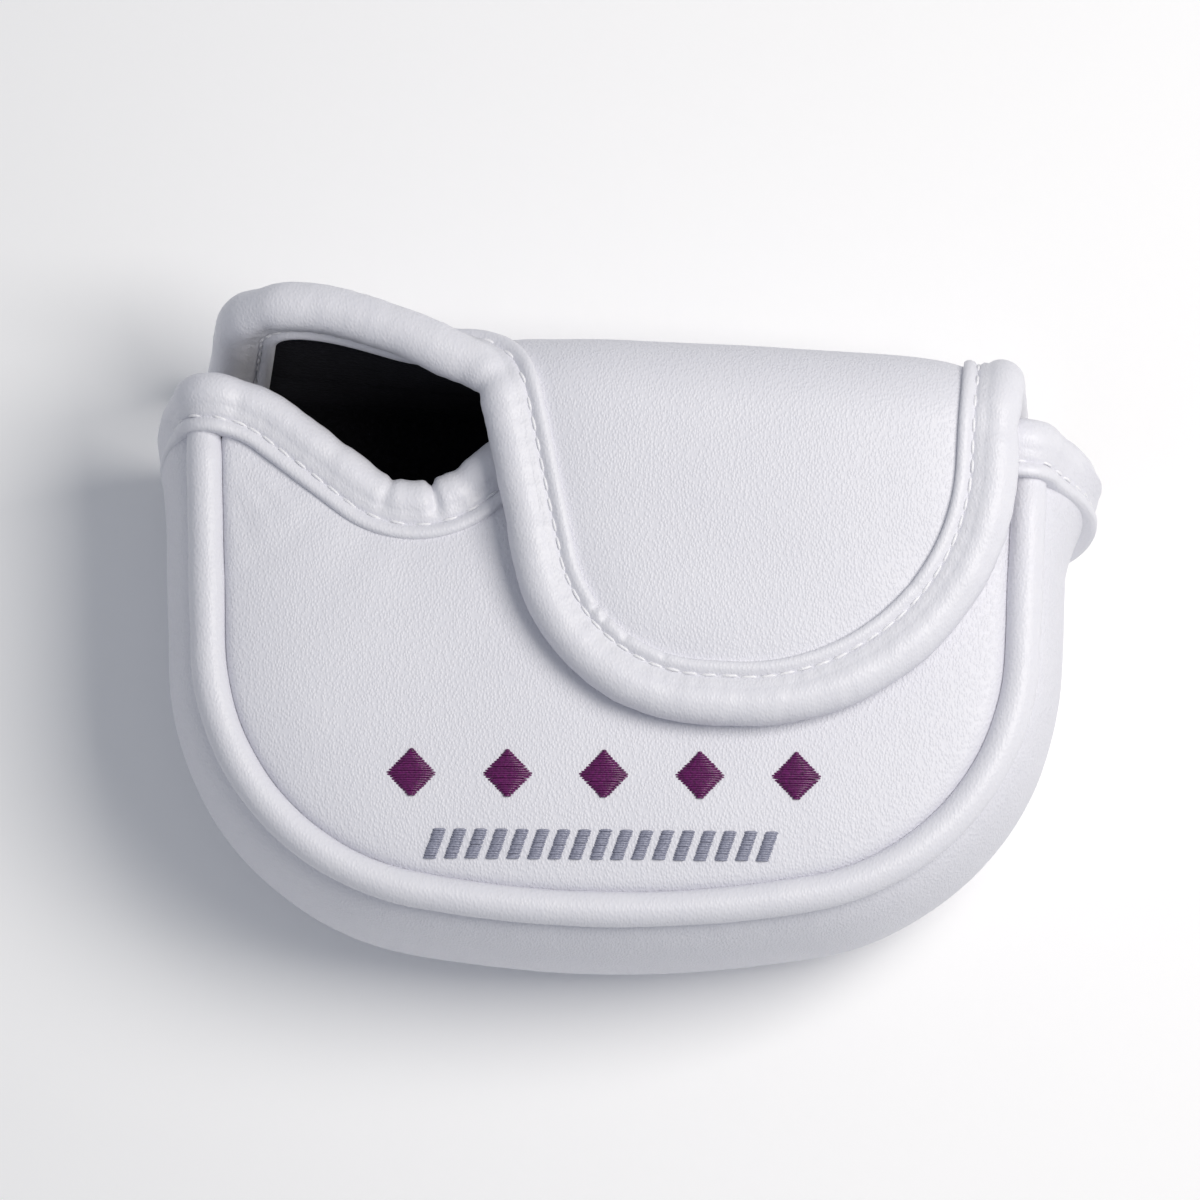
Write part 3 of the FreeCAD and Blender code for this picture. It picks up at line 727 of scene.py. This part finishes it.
def gussetSurface(inset, rows, outer):
    low, high = pouch["soleBeadZ"], pouch["crownBeadZ"]
    middle, chord = (low + high) / 2, (high - low) / 2
    zs = middle - chord * np.cos(np.linspace(0.0, math.pi, rows))
    columns = len(outlinePoints)
    points = np.zeros((rows, columns, 3))
    for i, z in enumerate(zs):
        base = outlineAt(z)
        swell = np.full(columns, pouch["gussetSwell"])
        for side in (-1, 1):
            on = outlineShare * side > 0
            swell[on] += flareAt(side, base[on, 1])
        out = pouch["gussetSeat"] - inset + swell * (1 - ((z - middle) / chord) ** 2)
        if not outer:  # the lining is pinched thin under the mouth's binding
            for side in (-1, 1):
                on = outlineShare * side > 0
                out[on] -= 2.0 * boundSink(mouthY(side, z) - base[on, 1])
        fromSeam = min(z - low, high - z)
        out = out + gussetLook["pillow"] * (1 - math.exp(-fromSeam / gussetLook["pillowReach"]))
        out = out - gussetLook["groove"] * math.exp(-fromSeam / gussetLook["grooveReach"])
        points[i, :, :2] = base + outlineNormals * out[:, None]
        points[i, :, 2] = z
    if outer:
        along = lengths(outlinePoints)
        height = (zs[:, None] - low) / (high - low)
        wave = ripple(points.reshape(-1, 3), 16.0, 5).reshape(rows, columns) * gussetLook["unevenness"]
        phase = along / gussetLook["puckerPitch"] * 2 * math.pi + 2.5 * ripple(points[0], 30.0, 8)
        edge = np.exp(-height / 0.10) + np.exp(-(1 - height) / 0.10)
        calm = smooth(0.02, 0.3, 1 - np.abs(outlineShare))
        pull = np.sin(phase)[None, :] * edge * gussetLook["puckers"] * calm[None, :]
        points[..., :2] += outlineNormals[None] * (wave * np.sin(height * math.pi) + pull)[..., None]
    faces = []
    for i in range(rows - 1):
        for j in range(columns - 1):
            a = i * columns + j
            faces.append((a, a + 1, a + columns + 1, a + columns))
    return points.reshape(-1, 3), faces


def makeGusset():
    # its foam's swell and pillow are in its section, so it isn't simulated
    points, faces = gussetSurface(0.0, gussetLook["rows"], True)
    panel = makePiece("gussetLeather", points, faces, grained, panelLook["leather"])
    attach(panel, "shell")
    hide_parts("gusset_panel", "gusset_foam")
    points, faces = gussetSurface(2 * pouch["halfStack"] - 0.1, gussetLook["liningRows"], False)
    lining = makePiece("gussetLining", points, turned(faces), plush, panelLook["lining"])
    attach(lining, "shell")
    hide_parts("gusset_lining")


makeGusset()
print("gusset ready")


def makeTongue():
    split = tongue["splitS"]
    top = int(np.argmax(tonguePath[:, 1]))
    heelSide, toeSide = tonguePath[:top], tonguePath[top:]
    low = heelSide[heelSide[:, 1] < 40]
    heelX = float(np.interp(split, low[:, 1], low[:, 0]))
    toeX = float(np.interp(split, toeSide[::-1, 1], toeSide[::-1, 0]))
    across = np.linspace(heelX, toeX, 84)
    cut = np.column_stack([across, np.full(len(across), split)])

    # sole, the bend at the sole and the lower half of the wall
    seam = toTongue(flatPoints(outlineAt(pouch["soleBeadZ"], 0.3)))
    seam = seam - np.array([0.0, tongue["hingeY"]])
    heel = heelSide[(heelSide[:, 0] < -50) & (heelSide[:, 1] > seam[0, 1] + 0.6)]
    heel = heel[heel[:, 1] < split - 0.4][::2]
    toe = toeSide[(toeSide[:, 1] < split - 0.4) & (toeSide[:, 1] > seam[-1, 1] + 0.6)][::2]
    ring = np.vstack([seam, toe[::-1], cut[::-1], heel[::-1]])
    bound = np.vstack([heel[::-1], heel[:1]]), np.vstack([toe, toe[-1:]])
    flat, faces = cutSheet(ring)
    gapSeam = distanceTo(flat, seam)
    gapBound = np.minimum(distanceTo(flat, bound[0]), distanceTo(flat, bound[1]))
    calm = smooth(split, split - 12, flat[:, 1])
    rise = seamSink(gapSeam) * 0.7 + boundSink(gapBound)
    rise = rise + 0.2 * ripple(flatPoints(flat), 25.0, 11) * calm * smooth(2, 12, gapSeam)
    held = (gapSeam < 0.4) | (gapBound < panelLook["boundSeat"]) | (flat[:, 1] > split - 0.1)
    rise = rise + stuffed(flat, faces, held, 0.8)
    rise = np.minimum(rise, np.where(flat[:, 1] < 0, 0.0, 1.0))  # the sole lies on the ground

    def rested(points, gap, s):
        # beside its binding, which is thicker than the sheet, the sole is lifted off the ground
        lift = tongue["restLift"] * smooth(tongue["restEnd"], 0.0, s)
        points[:, 2] += lift * np.exp(-(gap / tongue["restReach"]) ** 2)
        return points

    place = {"start": toWorld(np.array([0.0, tongue["hingeY"], pouch["halfStack"]])) * mm,
             "end": toWorld(np.array([0.0, tongue["wallY"], tongue["wallLow"]])) * mm}
    skin = rested(sheetAt(flat, pouch["halfStack"] + rise), gapBound, flat[:, 1])
    lower = makePiece("soleLeather", skin, turned(faces), grained, panelLook["leather"])
    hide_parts("sole_panel", "sole_foam", "root_hinge_panel")
    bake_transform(lower)
    lap = cut + np.array([0.0, tongue["lap"]])  # the lower lining laps behind the upper one
    flatLow, facesLow = cutSheet(np.vstack([seam, toe[::-1], lap[::-1], heel[::-1]]), 2.4, (1.2,))
    gapLow = np.minimum(distanceTo(flatLow, bound[0]), distanceTo(flatLow, bound[1]))
    tuck = 0.35 * smooth(split - 1.0, split + 0.2, flatLow[:, 1]) + liningTuck(gapLow)
    skin = rested(sheetAt(flatLow, tuck - pouch["halfStack"]), gapLow, flatLow[:, 1])
    inner = makePiece("soleLining", skin, facesLow, plush, panelLook["lining"])
    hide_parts("sole_lining", "root_hinge_lining")
    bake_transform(inner)

    # the upper half of the wall, the heel lip, the fold and the flap
    edge = tonguePath[(tonguePath[:, 1] > split + 0.4)][::2]
    ring = np.vstack([cut, edge[::-1]])
    flat, faces = cutSheet(ring)
    gapBound = distanceTo(flat, edge)
    calm = smooth(split, split + 12, flat[:, 1])
    rise = boundSink(gapBound) * smooth(split - 1, split + 1, flat[:, 1] + 4)
    rise = rise + 0.28 * ripple(flatPoints(flat), 20.0, 13) * calm
    rise = rise + stuffed(flat, faces, (gapBound < panelLook["boundSeat"]) | (flat[:, 1] < split + 0.1), 1.5)
    start = toWorld(np.array([0.0, tongue["wallY"], tongue["wallTop"]])) * mm
    end = toWorld(np.array([0.0, tongue["hingeY"], tongue["wallTop"] + tongue["bendRadius"]])) * mm
    skin = sheetAt(flat, pouch["halfStack"] + rise)
    upper = makePiece("flapLeather", skin, turned(faces), grained, panelLook["leather"])
    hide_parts("wall_panel", "wall_foam", "fold_hinge_panel", "flap_panel", "flap_foam")
    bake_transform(upper)
    flatUp, facesUp = cutSheet(ring, 2.4, (1.2,))
    tuck = liningTuck(distanceTo(flatUp, edge)) - pouch["halfStack"]
    skin = sheetAt(flatUp, tuck)
    inner = makePiece("flapLining", skin, facesUp, plush, panelLook["lining"])
    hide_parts("wall_lining", "fold_hinge_lining", "flap_lining")
    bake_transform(inner)
    return start, end, place


foldFrom, foldTo, rootPlace = makeTongue()
print("sole, wall and flap ready")


# piping: leather wrapped round a cord, sewn into each panel seam

pipingLook = {"sides": 28, "crownRadius": 2.85, "soleRadius": 2.75, "unevenness": 0.05}


def makePiping(name, z, radius, nodes):
    out = np.full(len(outlinePoints), pouch["beadRadius"])
    line = outlineAt(z, out)
    # its ends go in under the mouth's binding
    path = evenly(np.column_stack([line, np.full(len(line), z)]), 0.8)[6:-6]
    along = alongOf(path)
    up = np.tile([0.0, 0.0, 1.0], (len(path), 1))
    outs = unit(np.cross(along, up))
    turns = np.linspace(0, 2 * math.pi, pipingLook["sides"], endpoint=False)
    grow = radius * (1 + pipingLook["unevenness"] * ripple(path, 9.0, 21))
    fromEnd = np.minimum(lengths(path), lengths(path)[::-1])
    dip = 1 - smooth(0.0, 7.0, fromEnd)
    grow = grow * (1 - 0.05 * dip)
    path[:, 2] -= np.sign(z - 20) * 1.0 * dip
    profiles = np.stack([np.cos(turns)[None] * grow[:, None], np.sin(turns)[None] * grow[:, None]], axis=-1)
    points, faces = sweep(path, outs, up, profiles)
    bead = makePiece(name, points, faces, tight)
    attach(bead, "shell")
    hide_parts(*nodes)


for side in ("crown", "sole"):
    makePiping(side + "Piping", pouch[side + "BeadZ"], pipingLook[side + "Radius"],
               (side + "_piping", side + "_piping_cord"))
print("piping ready")


# padded binding: a plump roll over the raw edge, a stitched valley and the tape's narrow folded ridge

bindingLook = {
    "rollOut": 3.75, "rollUp": 3.8, "valley": 3.75, "valleyUp": 2.45, "ridgeEnd": 6.1, "ridgeUp": 3.45,
    "stitchPitch": 3.3, "stitchLength": 2.4, "stitchRadius": 0.24, "pucker": 0.16, "unevenness": 0.05,
    "wrinkle": 0.028, "wrinkleMm": 1.7,
}


def bindingProfile(rollSides=22):
    # one side from the ridge to the roll, the roll's outside, and the other side back
    look = bindingLook
    half, ridge, ridgeUp = pouch["halfStack"], -look["ridgeEnd"], look["ridgeUp"]
    valley, valleyUp = -look["valley"], look["valleyUp"]
    side = [(ridge - 0.1, half - 0.5), (ridge, half + 0.35), (ridge + 0.45, ridgeUp - 0.08),
            (ridge + 1.0, ridgeUp), (valley - 0.7, ridgeUp - 0.25), (valley - 0.28, valleyUp + 0.3),
            (valley, valleyUp), (valley + 0.3, valleyUp + 0.28), (valley + 0.8, valleyUp + 0.72)]
    turns = np.linspace(math.radians(126), math.radians(-126), rollSides)
    roll = [(look["rollOut"] * math.cos(a), look["rollUp"] * math.sin(a)) for a in turns]
    return np.array(side + roll + [(b, -n) for b, n in reversed(side)])


def bindingSweep(path, outs, ups, at, creases=(), climbs=(), kinks=()):
    # the profile along a path, puckered at the stitches, with a few deeper pinches
    look = bindingLook
    base = bindingProfile()
    roll = smooth(-look["valley"] - 0.2, -1.0, base[:, 0])
    grow = 1 + look["unevenness"] * ripple(path, 8.0, 33)
    for place, width, depth in creases:
        grow = grow - depth * np.exp(-((at - place) / width) ** 2)
    gather = np.abs(np.cos(at / look["stitchPitch"] * math.pi)) - 0.6
    pucker = -look["pucker"] * gather * (0.7 + 0.9 * ripple(path, 11.0, 35))
    near = np.exp(-((base[:, 0] + 2.4) / 1.2) ** 2)
    # pulled threads of the tape: small slanting wrinkles across the roll
    turn = np.arange(len(base)) * 0.35
    crease = np.array([[noise.noise(Vector((a / look["wrinkleMm"] + 0.5 * t, t * 0.6, 7.7))) for t in turn]
                       for a in at])
    scale = 1 + (grow[:, None] - 1 + look["wrinkle"] * crease) * roll[None, :]
    profiles = base[None] * scale[..., None]
    lift = pucker[:, None] * near[None, :] * np.sign(base[:, 1])[None, :]
    ridge = smooth(-look["valley"] - 0.5, -look["ridgeEnd"] + 0.6, base[:, 0]) * np.sign(base[:, 1])
    for place, width, depth in kinks:
        lift = lift - depth * np.exp(-((at - place) / width) ** 2)[:, None] * ridge[None, :]
    for place, width, height in climbs:
        top = smooth(0.0, 2.0, base[:, 1])
        lift = lift + height * np.exp(-((at - place) / width) ** 2)[:, None] * top[None, :]
    profiles = profiles + np.stack([np.zeros_like(lift), lift], axis=-1)
    return sweep(path, outs, ups, profiles)


def stitchRow(path, outs, ups, at, side, seed, climbs=()):
    # separate stitches lying in the valley, their ends pulled into their holes
    look = bindingLook
    rng = np.random.default_rng(seed)
    parts = []
    for i in range(math.ceil(at[0] / look["stitchPitch"]), int(at[-1] / look["stitchPitch"])):
        middle = (i + 0.5) * look["stitchPitch"] + rng.normal(0, 0.08)
        length = look["stitchLength"] * (1 + rng.normal(0, 0.05))
        spots = np.linspace(-0.5, 0.5, 6) * length
        centre = np.stack([np.interp(middle + spots, at, path[:, k]) for k in range(3)], axis=1)
        o = unit(np.array([np.interp(middle, at, outs[:, k]) for k in range(3)]))
        n = unit(np.array([np.interp(middle, at, ups[:, k]) for k in range(3)]))
        arch = look["valleyUp"] + 0.28 - 0.36 * (2 * spots / length) ** 4
        for place, width, height in climbs:
            arch = arch + height * math.exp(-((middle - place) / width) ** 2)
        skew = rng.normal(0, 0.06) + 0.09 * spots / length
        centre = centre - o * (look["valley"] + skew)[:, None] + n * side * arch[:, None]
        radii = look["stitchRadius"] * np.array([0.55, 0.95, 1, 1, 0.95, 0.55])
        parts.append(threadTube(centre, n, radii, 8))
    return joined(parts)


def threadTube(centre, up, radii, sides):
    along = alongOf(centre)
    outs = unit(np.cross(along, np.broadcast_to(up, along.shape)))
    ups = np.cross(outs, along)
    turns = np.linspace(0, 2 * math.pi, sides, endpoint=False)
    radii = np.broadcast_to(radii, (len(centre),))
    profiles = np.stack([np.cos(turns)[None] * radii[:, None], np.sin(turns)[None] * radii[:, None]], axis=-1)
    return sweep(centre, outs, ups, profiles)


def makeMouthBinding():
    path = mouthPath
    along = alongOf(path)
    outs = np.array([[0.0, 1.0, 0.0]]) - along[:, 1:2] * along  # out of the mouth, square to the edge
    outs = unit(outs)
    up = np.cross(along, outs)
    at = lengths(path)

    def nearest(x, y):
        return at[np.argmin(np.linalg.norm(path[:, :2] - np.array([x, y]), axis=1) + 50 * (path[:, 2] < 42))]

    creases = [(nearest(x, y), width, depth) for x, y, width, depth in mouthLook["creases"]]
    corners = [at[np.argmin(np.linalg.norm(path - np.array([side * 66.3, y, 43.8]), axis=1))]
               for side, y in ((-1, pouch["heelCornerY"]), (1, pouch["toeCornerY"]))]
    climbs = [(place, 3.2, 0.9) for place in corners]
    points, faces = bindingSweep(path, outs, up, at, creases, climbs)
    roll = makePiece("mouthBinding", points, faces, tight)
    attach(roll, "shell")
    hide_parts("mouth_binding", "mouth_binding_padding")
    rows = [stitchRow(path, outs, up, at, 1, 41, climbs), stitchRow(path, outs, up, at, -1, 42)]
    points, faces = joined(rows)
    thread = makePiece("mouthStitching", points, faces, whiteThread)
    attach(thread, "shell")
    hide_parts("mouth_stitching")


makeMouthBinding()
print("mouth binding ready")


def makeTongueBinding():
    path = sheetAt(tonguePath, np.zeros(len(tonguePath)))
    # the roll rests on the ground
    path[:, 2] += tongue["restLift"] * smooth(tongue["restEnd"], 0.0, tonguePath[:, 1])
    up = unit(sheetAt(tonguePath, np.ones(len(tonguePath))) - sheetAt(tonguePath, np.zeros(len(tonguePath))))
    along = alongOf(path)
    up = unit(up - (up * along).sum(axis=1, keepdims=True) * along)
    outs = np.cross(along, up)
    at = lengths(path)
    top = int(np.argmax(tonguePath[:, 1]))
    split = tongue["splitS"]
    heelEnd = int(np.argmax(tonguePath[:, 1] >= split))
    toeStart = top + int(np.argmax(tonguePath[top:, 1] <= split))

    def nearest(x, s):
        return at[np.argmin(np.linalg.norm(tonguePath - np.array([x, s]), axis=1))]

    middle = slice(heelEnd, toeStart + 1)
    creases = [(nearest(x, s), width, depth) for x, s, width, depth in tongueEdge["creases"]]
    kinks = [(nearest(x, s), width, depth) for x, s, width, depth in tongueEdge["kinks"]]
    runs = [("soleHeelBinding", slice(0, heelEnd + 1), (), "root"), ("flapBinding", middle, creases, "fold"),
            ("soleToeBinding", slice(toeStart, len(path)), (), "root")]
    nodes = {
        "soleHeelBinding": ("sole_binding", "sole_binding_padding",
                            "root_hinge_binding", "root_hinge_binding_padding"),
        "flapBinding": ("wall_binding", "wall_binding_padding", "fold_hinge_binding",
                        "fold_hinge_binding_padding", "flap_binding", "flap_binding_padding"),
        "soleToeBinding": ("sole_binding", "root_hinge_binding"),
    }
    for name, run, pinches, joint in runs:
        points, faces = bindingSweep(path[run], outs[run], up[run], at[run], pinches, (), kinks)
        roll = makePiece(name, points, faces, tight)
        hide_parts(*nodes[name])
        rows = [stitchRow(path[run], outs[run], up[run], at[run], side, 51 + side) for side in (1, -1)]
        points, faces = joined(rows)
        thread = makePiece(name + "Stitching", points, faces, whiteThread)
        if name == "flapBinding":
            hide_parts("flap_stitching")
        for piece in (roll, thread):
            if joint == "root":
                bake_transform(piece)
            else:
                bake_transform(piece)


makeTongueBinding()
print("tongue binding ready")


# embroidery: satin stitch over a low pad

embroideryLook = {
    "diamondCount": 5, "diamondSize": 8.0, "diamondPitch": 15.3, "diamondRow": (-1.6, -25.4),
    "barCount": 17, "barPitch": 3.3, "barWidth": 1.9, "barHeight": 4.6, "barSlant": 1.6,
    "barRow": (-2.0, -36.6),
    "threadPitch": 0.36, "threadRadius": 0.22, "padHeight": 0.55,
}


def satin(left, right, rng):
    # threads from the left line's points to the right line's, humped over the pad
    parts = []
    for a, b in zip(left, right):
        span = np.linalg.norm(b - a)
        if span < 0.5:
            continue
        t = np.linspace(0, 1, 7)
        line = a[None] * (1 - t)[:, None] + b[None] * t[:, None]
        line = line + rng.normal(0, 0.03, (1, 2))
        hump = embroideryLook["padHeight"] * np.clip(1 - np.abs(2 * t - 1) ** 4, 0, 1) - 0.12
        z = crownHeightAt(line) + hump + rng.normal(0, 0.02)
        centre = np.column_stack([line, z])
        radii = embroideryLook["threadRadius"] * np.array([0.8, 1, 1, 1, 1, 1, 0.8])
        parts.append(threadTube(centre, np.array([0, 0, 1.0]), radii, 6))
    return parts


def crownHeightAt(line):
    # the finished crown's face under a line of points
    heights = []
    for x, y in line:
        hit, place, *_ = crownPanel.ray_cast(Vector((x * mm, y * mm, 1.0)), Vector((0, 0, -1)))
        heights.append(place.z / mm if hit else pouch["height"])
    return np.array(heights)


def makeEmbroidery():
    look = embroideryLook
    rng = np.random.default_rng(7)
    step = look["threadPitch"]
    parts = []
    xMid, y = look["diamondRow"]
    half = look["diamondSize"] / 2
    for i in range(look["diamondCount"]):
        x = xMid + (i - (look["diamondCount"] - 1) / 2) * look["diamondPitch"]
        rows = np.arange(-half + step / 2, half, step)
        reach = half - np.abs(rows)
        left = np.column_stack([x - reach, y + rows])
        right = np.column_stack([x + reach, y + rows])
        parts += satin(left, right, rng)
    points, faces = joined(parts)
    mark = makePiece("diamondEmbroidery", points, faces, purpleThread)
    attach(mark, "shell")
    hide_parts("diamond_embroidery")
    parts = []
    xMid, y = look["barRow"]
    for i in range(look["barCount"]):
        x = xMid + (i - (look["barCount"] - 1) / 2) * look["barPitch"]
        rows = np.arange(-look["barHeight"] / 2 + step / 2, look["barHeight"] / 2, step)
        lean = rows / look["barHeight"] * look["barSlant"]
        left = np.column_stack([x - look["barWidth"] / 2 + lean, y + rows])
        right = np.column_stack([x + look["barWidth"] / 2 + lean, y + rows])
        parts += satin(left, right, rng)
    points, faces = joined(parts)
    rope = makePiece("ropeEmbroidery", points, faces, greyThread)
    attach(rope, "shell")
    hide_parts("braid_embroidery")


makeEmbroidery()
for name in ("crown_magnets", "flap_magnets"):
    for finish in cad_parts[name].material_slots:
        finish.material = nickel
print("embroidery and magnets ready")


# floor, light and camera

studio = {
    "floorColour": "#FDFDFE", "worldStrength": 0.36, "worldColour": "#F1F6FF",
    "keyPower": 3.6, "keyColour": "#FFFBF5", "keyPlace": (0.34, 0.05, 0.62), "keySize": 0.36,
    "fillPower": 0.3, "fillColour": "#EEF3FF", "fillPlace": (-0.8, 0.2, 0.9), "fillSize": 0.9,
}


def makeStudio():
    mesh = bpy.data.meshes.new("floor")
    mesh.from_pydata([(-3, -3, 0), (3, -3, 0), (3, 3, 0), (-3, 3, 0)], [], [(0, 1, 2, 3)])
    floor = bpy.data.objects.new("floor", mesh)
    bpy.context.scene.collection.objects.link(floor)
    paper, shader = newMaterial("matteStudioPaper", {
        "Base Color": linear(studio["floorColour"]), "Roughness": 0.9, "Specular IOR Level": 0.1,
    })
    mesh.materials.append(paper)
    world = bpy.data.worlds.new("studio")
    bpy.context.scene.world = world
    world.use_nodes = True
    world.node_tree.nodes["Background"].inputs["Color"].default_value = linear(studio["worldColour"])
    world.node_tree.nodes["Background"].inputs["Strength"].default_value = studio["worldStrength"]
    for name in ("key", "fill"):
        lamp = bpy.data.lights.new(name + "Light", "AREA")
        lamp.energy = studio[name + "Power"]
        lamp.color = linear(studio[name + "Colour"])[:3]
        lamp.size = studio[name + "Size"]
        light = bpy.data.objects.new(name + "Light", lamp)
        light.location = studio[name + "Place"]
        aim = Vector((0.0, 0.0, 0.03)) - Vector(studio[name + "Place"])
        light.rotation_mode = "QUATERNION"
        light.rotation_quaternion = aim.to_track_quat("-Z", "Y")
        light.visible_camera = False
        bpy.context.scene.collection.objects.link(light)


cameraLook = {
    "azimuth": 0.6, "elevation": 80.0, "lens": 400.0, "distance": 2146.0, "target": (-2.55, 6.72, 25.0),
}


def makeCamera():
    look = cameraLook
    data = bpy.data.cameras.new("camera")
    data.lens = look["lens"]
    data.sensor_width = 36.0
    data.clip_start, data.clip_end = 0.05, 20.0
    camera = bpy.data.objects.new("camera", data)
    a, e = math.radians(look["azimuth"]), math.radians(look["elevation"])
    back = Vector((math.sin(a) * math.cos(e), -math.cos(a) * math.cos(e), math.sin(e)))
    camera.location = Vector(look["target"]) * mm + back * look["distance"] * mm
    camera.rotation_mode = "QUATERNION"
    camera.rotation_quaternion = (-back).to_track_quat("-Z", "Y")
    bpy.context.scene.collection.objects.link(camera)
    bpy.context.scene.camera = camera


makeStudio()
makeCamera()
bpy.context.scene.view_settings.view_transform = "Standard"
print("studio ready")
